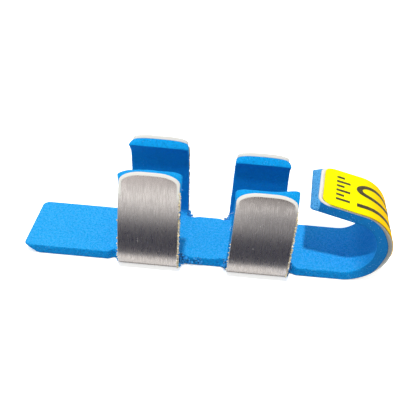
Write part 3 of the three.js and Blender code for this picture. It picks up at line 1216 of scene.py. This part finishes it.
@dataclass
class MetalSheet:
    """The aluminium: one sheet cut by shears, with softly broken edges."""

    blank: FineBlank
    edge_radius: float = 0.1
    tip_radius: dict[Side, float] = field(default_factory=lambda: {Side.FRONT: 0.65, Side.BACK: 0.15})
    tip_zone: float = 2.4

    def outer_radius(self, flat: np.ndarray) -> np.ndarray:
        """How far the shears rolled the outer face over at its edge: most at the ends of the front prongs.

        Args:
            flat: every vertex of the blank.

        Returns:
            One radius a vertex.
        """
        blank = self.blank
        radius = np.full(len(flat), self.edge_radius)
        for number, prong in enumerate(blank.form.prongs):
            mine = blank.owner == number
            reach = blank.form.reach(prong)
            rolled = smoothstep(flat[mine, 1], reach - self.tip_zone, reach - self.tip_zone / 4)
            radius[mine] = lerp(self.edge_radius, self.tip_radius[prong.side], rolled)
        return radius

    def shape(self, offset: Vector) -> bpy.types.Object:
        """Builds the sheet.

        Args:
            offset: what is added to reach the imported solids' place.

        Returns:
            The new object.
        """
        blank = self.blank
        flat = blank.flat(Outline())
        distance = blank.rim_distance(blank.unfold(flat, blank.owner))
        outer = corner_inset(self.outer_radius(flat), distance)
        inner = blank.form.metal - corner_inset(self.edge_radius, distance)
        layers = [Layer(flat, outer), Layer(flat, inner)]
        return SheetMesh(blank, "metal_sheet", offset).build(layers, distance)


@dataclass(frozen=True)
class Pull:
    """How far the foam is pulled out at one tip corner of a prong: along the strip, and past the tip."""

    edge: int
    out: float
    past: float


@dataclass(frozen=True)
class Ripple:
    """One size of unevenness: its height, its pitch, and a seed that sets it apart."""

    height: float
    pitch: float
    seed: float = 0.0

    def over(self, plane: np.ndarray) -> np.ndarray:
        """Its height at each flat place."""
        return self.height * ripple(plane, self.pitch, self.seed)


@dataclass
class FoamLining:
    """The foam: bonded to the sheet's inner side, puffed between its edges and lapped over the metal's rim.

    A crease is a share of the way up a prong's wall, a depth and a width. Lap zones are shares of the
    curl's length, from its foot.
    """

    blank: FineBlank
    proud: Outline = Outline(end=1.0, side=0.4, prong=0.25, prong_tip=0.2, tail_corner=1.4, corner=0.6,
                             crown=0.8, crown_width=2.0)
    end_slant: float = 0.5
    glue: float = 0.02
    edge_radius: float = 0.3
    lap_depth: float = 0.2
    lap_wall: float = 0.09
    lap_least: float = 0.3
    lap_rise: float = 0.02
    lap_wobble: float = 0.3
    base_lap: Span = (-0.45, -0.25)
    flap_lap: Span = (0.62, 0.95)
    root_lap: float = 2.0
    flank: tuple[float, ...] = (0.2, 0.4, 0.6, 0.8)
    bulge: float = 0.05
    ragged: tuple[Ripple, ...] = (Ripple(0.05, 0.9), Ripple(0.03, 0.35, 5.0))
    uneven: tuple[Ripple, ...] = (Ripple(0.025, 2.2, 3.0), Ripple(0.0175, 0.6, 9.0))
    creases: tuple[tuple[float, float, float], ...] = ((1.0, 0.10, 0.35), (0.45, 0.06, 0.3))
    pull_length: float = 3.5
    pulls: tuple[Pull, ...] = (
        Pull(-1, 0.45, -0.8),
        Pull(-1, 0.25, 0.1),
        Pull(1, 0.1, 1.0),
        Pull(1, 0.2, 0.0),
    )

    def pulled(self, flat: np.ndarray) -> np.ndarray:
        """How far the prongs' tip corners are pulled out.

        Args:
            flat: every vertex of the blank.

        Returns:
            What is added to each vertex.
        """
        form = self.blank.form
        shift = np.zeros_like(flat)
        for number, (prong, pull) in enumerate(zip(form.prongs, self.pulls)):
            mine = self.blank.owner == number
            s, run = flat[mine].T
            reach = form.reach(prong)
            off_middle = s - form.prong_middle(prong, run)
            near = np.clip(pull.edge * off_middle / (form.prong_width / 2), 0.0, 1.0) ** 2
            near *= smoothstep(run, reach - self.pull_length, reach)
            shift[mine] = near[:, None] * (pull.edge * pull.out, pull.past)
        return shift

    def outer_places(self) -> np.ndarray:
        """Every vertex of the blank in the foam's free face, with its slanted end and pulled corners.

        Returns:
            (s, t) on the strip and (s, run) on a prong, one row a vertex.
        """
        form = self.blank.form
        outer = self.blank.flat(self.proud)
        near_end = smoothstep(outer[:, 0], form.strip_length - form.flap_length / 2, form.strip_length)
        outer[:, 0] += self.end_slant * near_end * (0.5 + outer[:, 1] / form.tip_width)
        return outer + self.pulled(outer)

    def thickness(self, flat: np.ndarray) -> np.ndarray:
        """How thick the foam stands, with the creases where the prongs turn in.

        Args:
            flat: every vertex of the blank.

        Returns:
            One thickness a vertex.
        """
        form = self.blank.form
        stand = form.foam * form.swell(flat[:, 0])
        for number, prong in enumerate(form.prongs):
            (bend, _), (wall, _), _ = form.prong_segments(prong)
            mine = self.blank.owner == number
            run = flat[mine, 1]
            stand[mine] = lerp(form.foam, form.prong_foam, smoothstep(run, 0.0, bend))
            for share, depth, width in self.creases:
                stand[mine] -= depth * np.exp(-((run - bend - wall * share) / width) ** 2)
        return stand

    def lap(self, flat: np.ndarray) -> np.ndarray:
        """Where the foam laps over the metal's edge.

        Args:
            flat: every vertex of the blank.

        Returns:
            1 along the base and the flap, 0 on the curl and the prongs.
        """
        form = self.blank.form
        along = (flat[:, 0] - form.base_length) / form.curl_length
        lap = np.maximum(smoothstep(-along, *self.base_lap), smoothstep(along, *self.flap_lap))
        on_prong = self.blank.owner >= 0
        lap[on_prong] = smoothstep(-flat[on_prong, 1], -self.root_lap * form.root_fillet, 0.0)
        return lap

    def shape(self, offset: Vector) -> bpy.types.Object:
        """Builds the foam.

        Args:
            offset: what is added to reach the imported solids' place.

        Returns:
            The new object.
        """
        blank = self.blank
        inner, outer = blank.flat(Outline()), self.outer_places()
        plane = blank.unfold(outer, blank.owner)
        distance, outward = blank.rim_distance(plane), blank.rim_outward(plane)
        outward[:, 1] *= np.array([1] + [prong.side.value for prong in blank.form.prongs])[blank.owner + 1]
        ragged = sum(wave.over(plane) for wave in self.ragged)

        def rim_layer(share: float, out: Values, depth: np.ndarray, wobble: float) -> Layer:
            """A line of the flank, at a share of the overhang and a distance outside it."""
            shift = outward * (out + wobble * ragged)[:, None]
            return Layer(lerp(inner, outer, share) + shift, depth)

        lap = self.lap(inner)
        back = np.full(len(lap), blank.form.metal + self.glue)
        low = lerp(back, self.lap_depth, lap)
        top = back + self.thickness(outer)
        lapped = self.glue + self.lap_wall * lerp(self.lap_least, 1.0, lap)
        layers = [
            Layer(inner, back),
            rim_layer(0.0, self.glue, back, 0.0),
            rim_layer(0.0, self.glue, low, 0.0),
            rim_layer(0.0, lapped, low + self.lap_rise, self.lap_wobble),
        ]
        for share in self.flank:
            out = (1 - share) * self.lap_wall + self.bulge * math.sin(share * math.pi)
            layers.append(rim_layer(share, out, lerp(low, top - self.edge_radius, share), 1.0))
        skin = top - corner_inset(self.edge_radius, distance) + sum(wave.over(plane) for wave in self.uneven)
        layers.append(rim_layer(1.0, 0.0, skin, 1.0))
        return SheetMesh(blank, "foam_lining", offset).build(layers, distance)


@dataclass
class SizeLabel:
    """The yellow label over the curl, with a row of ticks and a plain number.

    The number's box is its low s, low t, high s and high t from the label's free end, and the ticks
    end at a place from there too.
    """

    form: SplintForm
    film: float = 0.12
    gap: float = 0.06
    length: float = 21.0
    margin: float = 0.2
    setback: float = 0.8
    corner: float = 2.0
    corner_rows: int = 9
    straight_rows: int = 42
    middle_columns: int = 21
    middle_share: float = 0.9
    rim_share: float = 0.97
    ink: float = 0.03
    number: str = "10"
    number_box: tuple[float, float, float, float] = (-16.0, -4.9, -6.6, 4.4)
    number_cuts: int = 24
    number_extrude: float = 0.02
    number_merge: float = 1e-5
    ticks: int = 6
    tick_rows: int = 6
    tick_pitch: float = 1.7
    tick_width: float = 0.72
    tick_long: float = 2.8
    tick_short: float = 1.6
    tick_end: float = -2.5

    @property
    def end(self) -> float:
        """Where the label's free end is along the strip."""
        return self.form.strip_length - self.setback

    @property
    def face(self) -> float:
        """The depth of the label's outer face."""
        return -self.gap - self.film

    def shape(self, offset: Vector) -> bpy.types.Object:
        """Builds the film as a thin closed sheet with rounded corners.

        Args:
            offset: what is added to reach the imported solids' place.

        Returns:
            The new object.
        """
        rise = self.corner * (1 - np.cos(np.linspace(0.0, math.pi / 2, self.corner_rows)))
        middle = np.linspace(self.corner, self.length - self.corner, self.straight_rows)[1:-1]
        rows = np.concatenate((rise, middle, self.length - rise[::-1]))
        inset = corner_inset(self.corner, np.minimum(rows, self.length - rows))
        half = self.form.tip_width / 2 - self.margin - inset
        near_edge = np.linspace(self.rim_share, 1.0, 3)
        inside = np.linspace(-self.middle_share, self.middle_share, self.middle_columns)
        across = np.concatenate((-near_edge[::-1], inside, near_edge))
        s = np.broadcast_to((self.end - self.length + rows)[:, None], (len(rows), len(across)))
        flat = np.column_stack((s.ravel(), (half[:, None] * across).ravel()))
        count = len(flat)
        quads = FineBlank.grid_quads(np.arange(count).reshape(s.shape))
        edges = open_edges(quads)
        walls = np.stack((edges[:, 0], edges[:, 1], edges[:, 1] + count, edges[:, 0] + count), axis=1)
        faces = np.vstack((quads[:, ::-1], quads + count, walls)).tolist()
        depths = [np.full(count, depth) for depth in (self.face, -self.gap)]
        points = np.vstack([self.form.bend_strip(flat, depth) for depth in depths])
        shades = np.vstack([np.column_stack((flat, depth, np.ones(count))) for depth in depths])
        return new_mesh("label_film", points, faces, offset, shades)

    def printed(self, name: str, flat: np.ndarray, raised: np.ndarray, mesh: bpy.types.Mesh,
                offset: Vector) -> bpy.types.Object:
        """Bends flat ink on to the label's outer face.

        Args:
            name: the object's name.
            flat: (s, t) of each corner of the ink.
            raised: which corners are at the ink's top.
            mesh: the flat ink, which gives the faces.
            offset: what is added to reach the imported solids' place.

        Returns:
            The new object.
        """
        depth = np.where(raised, self.face - self.ink, self.face)
        faces = [list(polygon.vertices) for polygon in mesh.polygons]
        return new_mesh(name, self.form.bend_strip(flat, depth), faces, offset)

    def flat_number(self) -> bpy.types.Mesh:
        """Makes the number as a flat mesh with a little thickness, which is scaled to the ink's later.

        Returns:
            The mesh, without an object.
        """
        curve = bpy.data.curves.new("number_text", "FONT")
        curve.body = self.number
        curve.fill_mode = "BOTH"
        curve.extrude = self.number_extrude
        text = link_object("number_text", curve)
        mesh = bpy.data.meshes.new_from_object(text.evaluated_get(bpy.context.evaluated_depsgraph_get()))
        bpy.data.objects.remove(text)
        return mesh

    def number_shape(self, offset: Vector) -> bpy.types.Object:
        """Builds the number as ink that follows the curl, cut across so that it can bend.

        Args:
            offset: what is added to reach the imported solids' place.

        Returns:
            The new object.
        """
        mesh = self.flat_number()
        corners = np.array([v.co for v in mesh.vertices])
        lowest, highest = corners.min(axis=0), corners.max(axis=0)
        work = bmesh.new()
        work.from_mesh(mesh)
        bmesh.ops.remove_doubles(work, verts=work.verts, dist=self.number_merge)
        for index in range(1, self.number_cuts):
            level = lerp(lowest[1], highest[1], index / self.number_cuts)
            geometry = work.verts[:] + work.edges[:] + work.faces[:]
            bmesh.ops.bisect_plane(work, geom=geometry, plane_co=(0, level, 0), plane_no=(0, 1, 0))
        work.to_mesh(mesh)
        work.free()
        low_s, low_t, high_s, high_t = self.number_box
        scale = np.array((high_t - low_t, high_s - low_s, 1.0)) / (highest - lowest)
        corners = (np.array([v.co for v in mesh.vertices]) - lowest) * scale
        flat = np.column_stack((self.end + low_s + corners[:, 1], low_t + corners[:, 0]))
        raised = corners[:, 2] > corners[:, 2].max() / 2
        return self.printed("label_number", flat, raised, mesh, offset)

    def tick_tree(self) -> bpy.types.NodeTree:
        """Geometry nodes for the row of ticks: bars on a line, every second one short.

        Returns:
            The tree, with the sizes, the count and the ink as its inputs.
        """
        sizes = ("Pitch", "Width", "Long", "Short", "Depth")
        wires, given, sink = new_geometry_tree("tick_row", sizes, "Count", "Ink")
        line = wires.add("GeometryNodeMeshLine", Count=given["Count"], Offset=wires.vector(X=given["Pitch"]))
        odd = wires.math("MODULO", wires.add("GeometryNodeInputIndex").outputs[0], 2.0)
        length = wires.blend(odd, given["Long"], given["Short"])
        shift = wires.vector(Y=wires.product(length, -0.5))
        placed = wires.add("GeometryNodeSetPosition", Geometry=line.outputs[0], Offset=shift)
        bar = wires.add("GeometryNodeMeshCube", Vertices_Y=self.tick_rows)
        size = wires.vector(X=given["Width"], Y=length, Z=given["Depth"])
        bars = wires.add("GeometryNodeInstanceOnPoints", Points=placed.outputs[0], Instance=bar.outputs[0],
                         Scale=size)
        wires.feed(sink, Geometry=wires.realized(bars.outputs[0], given["Ink"]))
        return wires.tree

    def ticks_shape(self, ink: bpy.types.Material, offset: Vector) -> bpy.types.Object:
        """Builds the row of ticks, flat first, then bent on to the label.

        Args:
            ink: the material of the tree's result.
            offset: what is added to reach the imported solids' place.

        Returns:
            The new object.
        """
        values = {"Pitch": self.tick_pitch, "Width": self.tick_width, "Long": self.tick_long,
                  "Short": self.tick_short, "Depth": self.ink, "Count": self.ticks, "Ink": ink}
        row = run_tree(self.tick_tree(), "tick_row", np.zeros((1, 3)), values)
        corners = np.array([v.co for v in row.vertices])
        start = -self.tick_pitch * (self.ticks - 1) / 2
        flat = np.column_stack((self.end + self.tick_end + corners[:, 1], start + corners[:, 0]))
        return self.printed("label_ticks", flat, corners[:, 2] > 0, row, offset)


@dataclass
class LooseBits:
    """Small bits left by the shears, scattered along guide points by geometry nodes.

    Size and spread are millimetres. Stretch, the least side and a fibre's radius are shares of the size.
    """

    name: str
    shape_kind: BitShape
    size: float
    spread: float
    stretch: float
    seed: int
    least_side: float = 0.45
    fibre_radius: float = 0.06

    def tree(self) -> bpy.types.NodeTree:
        """Geometry nodes that put a small turned and scaled solid near each guide point.

        Returns:
            The tree, with the sizes, the seed and the tint as its inputs.
        """
        sizes = ("Size", "Spread", "Stretch")
        wires, given, sink = new_geometry_tree(self.name + "_tree", sizes, "Seed", "Tint")
        points = wires.add("GeometryNodeMeshToPoints", Mesh=given["Geometry"]).outputs[0]
        near = wires.scaled(self.random_vector(wires, -1.0, 1.0, given["Seed"]), given["Spread"])
        placed = wires.add("GeometryNodeSetPosition", Geometry=points, Offset=near).outputs[0]
        if self.shape_kind is BitShape.CRUMB:
            solid = wires.add("GeometryNodeMeshIcoSphere", Radius=0.5, Subdivisions=1)
        else:
            solid = wires.add("GeometryNodeMeshCylinder", Vertices=5, Side_Segments=2,
                              Radius=self.fibre_radius, Depth=1.0)
        turn = self.random_vector(wires, -math.pi, math.pi, wires.math("ADD", given["Seed"], 1.0))
        sides = self.random_vector(wires, self.least_side, 1.0, wires.math("ADD", given["Seed"], 2.0))
        long = wires.times(sides, wires.vector(X=1.0, Y=1.0, Z=given["Stretch"]))
        bits = wires.add("GeometryNodeInstanceOnPoints", Points=placed, Instance=solid.outputs[0],
                         Rotation=turn, Scale=wires.scaled(long, given["Size"]))
        wires.feed(sink, Geometry=wires.realized(bits.outputs[0], given["Tint"]))
        return wires.tree

    @staticmethod
    def random_vector(wires: Wiring, low: float, high: float, seed: Feed) -> bpy.types.NodeSocket:
        """A random vector for each point, from a fixed seed."""
        inputs = {"i0": (low,) * 3, "i1": (high,) * 3, "Seed": seed}
        return wires.add("FunctionNodeRandomValue", {"data_type": "FLOAT_VECTOR"}, **inputs).outputs[0]

    def scatter(self, guide: np.ndarray, tint: bpy.types.Material, offset: Vector) -> bpy.types.Object:
        """Builds the bits.

        Args:
            guide: guide points in millimetres, before the offset.
            tint: the material of the tree's result.
            offset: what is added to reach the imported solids' place.

        Returns:
            The new object.
        """
        values = {"Size": self.size, "Spread": self.spread, "Stretch": self.stretch, "Seed": self.seed,
                  "Tint": tint}
        mesh = run_tree(self.tree(), self.name, guide, values)
        mesh.transform(Matrix.Translation(offset))
        mesh.transform(Matrix.Scale(MM, 4))
        return link_object(self.name, mesh)


@dataclass(frozen=True)
class EdgeRun:
    """A stretch of a prong's edge with loose bits on it.

    Sign is -1 for the edge towards the tail and 1 for the one towards the fingertip. Start and stop
    are millimetres from the root plus a share of the prong's length. Depth is the least and greatest
    depth into the sheet, and out is how far outside the metal's edge the bits are.
    """

    sign: int
    start: Span
    stop: Span
    count: int
    depth: Span
    out: float


@dataclass
class ShearedEdges:
    """What the shears left: metal burr down the prongs' edges, foam crumbs and fibres at their roots."""

    blank: FineBlank
    burr: tuple[EdgeRun, ...] = (
        EdgeRun(1, (2.5, 0.0), (0.0, 0.86), 260, (0.0, 0.7), 0.08),
        EdgeRun(-1, (2.0, 0.0), (0.0, 0.6), 12, (0.0, 0.4), 0.02),
    )
    crumbs: tuple[EdgeRun, ...] = (
        EdgeRun(-1, (0.0, 0.0), (3.2, 0.0), 30, (0.4, 2.4), 0.3),
        EdgeRun(1, (0.0, 0.0), (3.2, 0.0), 130, (0.4, 2.4), 0.3),
    )
    fibres: tuple[EdgeRun, ...] = (
        EdgeRun(-1, (0.0, 0.0), (3.5, 0.0), 22, (0.6, 2.5), 0.25),
        EdgeRun(-1, (0.0, 0.3), (0.0, 0.9), 10, (1.0, 2.4), 0.25),
        EdgeRun(1, (0.0, 0.0), (3.5, 0.0), 22, (0.6, 2.5), 0.25),
        EdgeRun(1, (0.0, 0.3), (0.0, 0.9), 10, (1.0, 2.4), 0.25),
    )
    torn_count: int = 70
    torn_length: float = 4.0
    torn_thinning: float = 1.5
    torn_depth: Span = (0.6, 2.2)
    torn_out: float = 0.3
    draws: np.random.Generator = field(default_factory=lambda: np.random.default_rng(7))

    def along_prongs(self, runs: tuple[EdgeRun, ...]) -> np.ndarray:
        """Draws random places on the edges of every prong.

        Args:
            runs: the stretches of each prong's edges.

        Returns:
            (x, y, z) in millimetres, before the offset.
        """
        form = self.blank.form
        parts = []
        for prong in form.prongs:
            for part in runs:
                low, high = (length + share * form.reach(prong) for length, share in (part.start, part.stop))
                run = self.draws.uniform(low, high, part.count)
                half = form.prong_half_width(prong, Outline(), run) + part.out
                flat = np.column_stack((form.prong_middle(prong, run) + part.sign * half, run))
                parts.append(form.bend_prong(prong, flat, self.draws.uniform(*part.depth, part.count)))
        return np.vstack(parts)

    def torn_strip(self) -> np.ndarray:
        """Random places along the strip's edge beside one root of the first prong, thinning out.

        Returns:
            (x, y, z) in millimetres, before the offset.
        """
        form = self.blank.form
        prong = form.prongs[0]
        side = prong.side.value
        away = self.torn_length * self.draws.uniform(0.0, 1.0, self.torn_count) ** self.torn_thinning
        s = form.pair_place(prong.pair, side) + (form.root - form.root_fillet / 2 + away)
        t = side * (form.metal_half_width(s, np.full(self.torn_count, side)) + self.torn_out)
        depth = self.draws.uniform(*self.torn_depth, self.torn_count)
        return form.bend_strip(np.column_stack((s, t)), depth)


@dataclass
class Studio:
    """The pale floor, the soft light, and the camera at the photograph's angle.

    Lengths are millimetres, and the zones of the sky are spans of one part of the direction looked in.
    """

    lens: float = 53.9
    sensor: float = 36.0
    distance: float = 124.66
    pitch: float = 0.593
    yaw: float = -0.006
    roll: float = 0.087
    target: tuple[float, float, float] = (-0.8805, -0.2339, 9.478)
    key_from: tuple[float, float, float] = (-0.06, -0.27, 0.96)
    key_angle: float = 4.0
    key_strength: float = 2.05
    white: Colour = (1.0, 1.0, 1.0, 1.0)
    sky: float = 0.42
    backdrop: float = 0.9
    front_glow: float = 0.38
    front_dim: float = -0.6
    seen_sky: float = 1.0
    high_zone: Span = (0.6, 0.95)
    back_zone: Span = (0.2, 0.7)
    front_zone: Span = (-0.7, -0.2)
    dim_zone: Span = (-0.08, 0.04)
    floor_size: float = 4000.0
    floor_colour: Colour = (0.90, 0.95, 0.95, 1.0)
    floor_lift: float = 0.6
    floor_roughness: float = 0.8
    flag_colour: Colour = (0.04, 0.046, 0.07, 1.0)
    flag_height: float = 0.4
    flag_near: float = 13.5
    flag_far: float = 62.0
    flag_soft: float = 38.0
    flag_length: float = 110.0
    flag_turn: Span = (-4.0, 12.0)
    flag_least: float = 0.74

    def camera(self) -> None:
        """Places the camera."""
        level = math.cos(self.pitch)
        forward = Vector((math.sin(self.yaw) * level, math.cos(self.yaw) * level, -math.sin(self.pitch)))
        right = Vector((math.cos(self.yaw), -math.sin(self.yaw), 0.0))
        up = right.cross(forward)
        turned_right = right * math.cos(self.roll) + up * math.sin(self.roll)
        turned_up = up * math.cos(self.roll) - right * math.sin(self.roll)
        data = bpy.data.cameras.new("photo_camera")
        data.lens = self.lens
        data.sensor_width = self.sensor
        data.clip_start = MM
        camera = link_object("photo_camera", data)
        place = (Vector(self.target) - forward * self.distance) * MM
        turn = Matrix((turned_right, turned_up, -forward)).transposed()
        camera.matrix_world = Matrix.Translation(place) @ turn.to_4x4()
        bpy.context.scene.camera = camera

    def light(self) -> None:
        """Adds the key light and the sky."""
        data = bpy.data.lights.new("key", "SUN")
        data.energy = self.key_strength
        data.angle = math.radians(self.key_angle)
        key = link_object("key", data)
        key.rotation_mode = "QUATERNION"
        key.rotation_quaternion = Vector(self.key_from).to_track_quat("Z", "Y")
        bpy.context.scene.world = self.world()
        bpy.context.scene.view_settings.view_transform = "Standard"

    def world(self) -> bpy.types.World:
        """An even sky, brighter behind the splint and at its front left, seen as plain pale.

        Returns:
            The world.
        """
        world = bpy.data.worlds.new("studio")
        world.use_nodes = True
        wires = Wiring(world.node_tree)
        parts = wires.axes(wires.coordinates("Generated"))
        low = wires.ramp(parts["Z"], *self.high_zone, 1.0, 0.0)
        behind = wires.ramp(parts["Y"], *self.back_zone, 0.0, self.backdrop)
        ahead = wires.product(wires.ramp(parts["Y"], *self.front_zone, self.front_glow, 0.0),
                              wires.ramp(parts["X"], *self.dim_zone, 1.0, self.front_dim))
        glow = wires.math("ADD", wires.product(wires.math("ADD", behind, ahead), low), self.sky)
        wires.feed(world.node_tree.nodes["Background"], Color=self.white,
                   Strength=wires.blend(wires.seen(), glow, self.seen_sky))
        return world

    def plane(self, name: str, low: Span, high: Span, z: float) -> bpy.types.Object:
        """Lays a level rectangle that isn't part of the splint.

        Args:
            name: the object's name.
            low: its lowest x and y.
            high: its highest x and y.
            z: its height.

        Returns:
            The new object.
        """
        corners = [(low[0], low[1], z), (high[0], low[1], z), (high[0], high[1], z), (low[0], high[1], z)]
        obj = new_mesh(name, np.array(corners), [[0, 1, 2, 3]], Vector())
        return obj

    def floor(self) -> None:
        """Lays the floor under the splint, lifted for the camera so that its shadows stay faint."""
        half = self.floor_size / 2
        obj = self.plane("floor", (-half, -half), (half, half), 0.0)
        material, wires, shader = new_material("pale_floor")
        wires.feed(shader, Base_Color=self.floor_colour, Roughness=self.floor_roughness,
                   Emission_Color=self.white, Emission_Strength=wires.product(wires.seen(), self.floor_lift))
        obj.data.materials.append(material)

    def flags(self) -> None:
        """Lays two dark cards beside the splint that show only in its reflections."""
        half = self.flag_length / 2
        for name, side in (("front_flag", Side.FRONT), ("back_flag", Side.BACK)):
            low, high = sorted((side.value * self.flag_near, side.value * 2.0 * self.flag_far))
            obj = self.plane(name, (-half, low), (half, high), self.flag_height)
            for ray in ("camera", "diffuse", "shadow", "transmission"):
                setattr(obj, f"visible_{ray}", False)
            obj.data.materials.append(self.flag_material(name, side))

    def flag_material(self, name: str, side: Side) -> bpy.types.Material:
        """Dark card that fades away from the splint, and less so towards the fingertip end.

        Args:
            name: the material's name.
            side: the side of the splint that the card is on.

        Returns:
            The material.
        """
        material, wires, shader = new_material(name)
        parts = wires.axes(wires.coordinates())
        across = wires.product(parts["Y"], side.value / MM)
        along = wires.product(parts["X"], 1 / MM)
        fade = wires.ramp(across, self.flag_far - self.flag_soft, self.flag_far, 1.0, 0.0)
        least = wires.ramp(along, *self.flag_turn, 0.0, self.flag_least)
        wires.feed(shader, Base_Color=self.flag_colour, Roughness=1.0, Alpha=wires.larger(fade, least))
        return material


def packed_offset(form: SplintForm, blank: FineBlank) -> Vector:
    """Moves the blank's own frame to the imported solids' place, from the metal node's box.

    Args:
        form: the splint's sizes.
        blank: its fine blank.

    Returns:
        What is added to every point, in millimetres.
    """
    low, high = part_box("aluminium_splint")
    flat = blank.flat(Outline())
    bent = blank.bend(flat, np.zeros(len(flat)), blank.owner)
    middle = (bent[:, 1].min() + bent[:, 1].max()) / 2
    return Vector((low.x / MM, (low.y + high.y) / 2 / MM - middle, low.z / MM))


def scatter_bits(blank: FineBlank, offset: Vector) -> None:
    """Builds and dresses the burr, the crumbs and the fibres.

    Args:
        blank: the fine blank, whose edges they lie on.
        offset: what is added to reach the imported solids' place.
    """
    edges = ShearedEdges(blank)
    burr_tint = BitTint("burr_tint", (0.80, 0.66, 0.38, 1.0), (0.98, 0.92, 0.75, 1.0), 0.5, 0.5).material()
    crumb_tint = BitTint("crumb_tint", (0.003, 0.10, 0.27, 1.0), (0.02, 0.38, 0.88, 1.0)).material()
    fibre_tint = BitTint("fibre_tint", (0.12, 0.45, 0.90, 1.0), (0.55, 0.78, 1.0, 1.0)).material()
    burr = LooseBits("edge_burr", BitShape.CRUMB, size=0.42, spread=0.12, stretch=1.3, seed=11)
    crumbs = LooseBits("foam_crumbs", BitShape.CRUMB, size=0.62, spread=0.25, stretch=1.3, seed=21)
    fibres = LooseBits("foam_fibres", BitShape.FIBRE, size=0.55, spread=0.15, stretch=1.6, seed=31)
    dress(burr.scatter(edges.along_prongs(edges.burr), burr_tint, offset), burr_tint, "aluminium")
    torn = np.vstack((edges.along_prongs(edges.crumbs), edges.torn_strip()))
    dress(crumbs.scatter(torn, crumb_tint, offset), crumb_tint, "foam")
    dress(fibres.scatter(edges.along_prongs(edges.fibres), fibre_tint, offset), fibre_tint, "foam")


def main() -> None:
    """Builds the splint and its surroundings."""
    logging.basicConfig(level=logging.INFO, format="%(name)s %(message)s")
    studio = Studio()
    studio.camera()
    studio.light()
    studio.floor()
    studio.flags()

    form = SplintForm()
    blank = FineBlank(form)
    offset = packed_offset(form, blank)
    effects = SharedEffects(grain_group(), speck_group())

    metal = MetalSheet(blank).shape(offset)
    dress(metal, BrushedAluminium().material(effects), "aluminium", "aluminium_splint")
    foam = FoamLining(blank).shape(offset)
    dress(foam, BlueFoam().material(effects), "foam", "foam_padding")

    label = SizeLabel(form)
    ink = PrintInk().material(effects)
    dress(label.shape(offset), LabelPaper().material(effects), "label", "size_label")
    dress(label.number_shape(offset), ink, "label")
    dress(label.ticks_shape(ink, offset), ink, "label")
    scatter_bits(blank, offset)


if __name__ == "__main__":
    main()
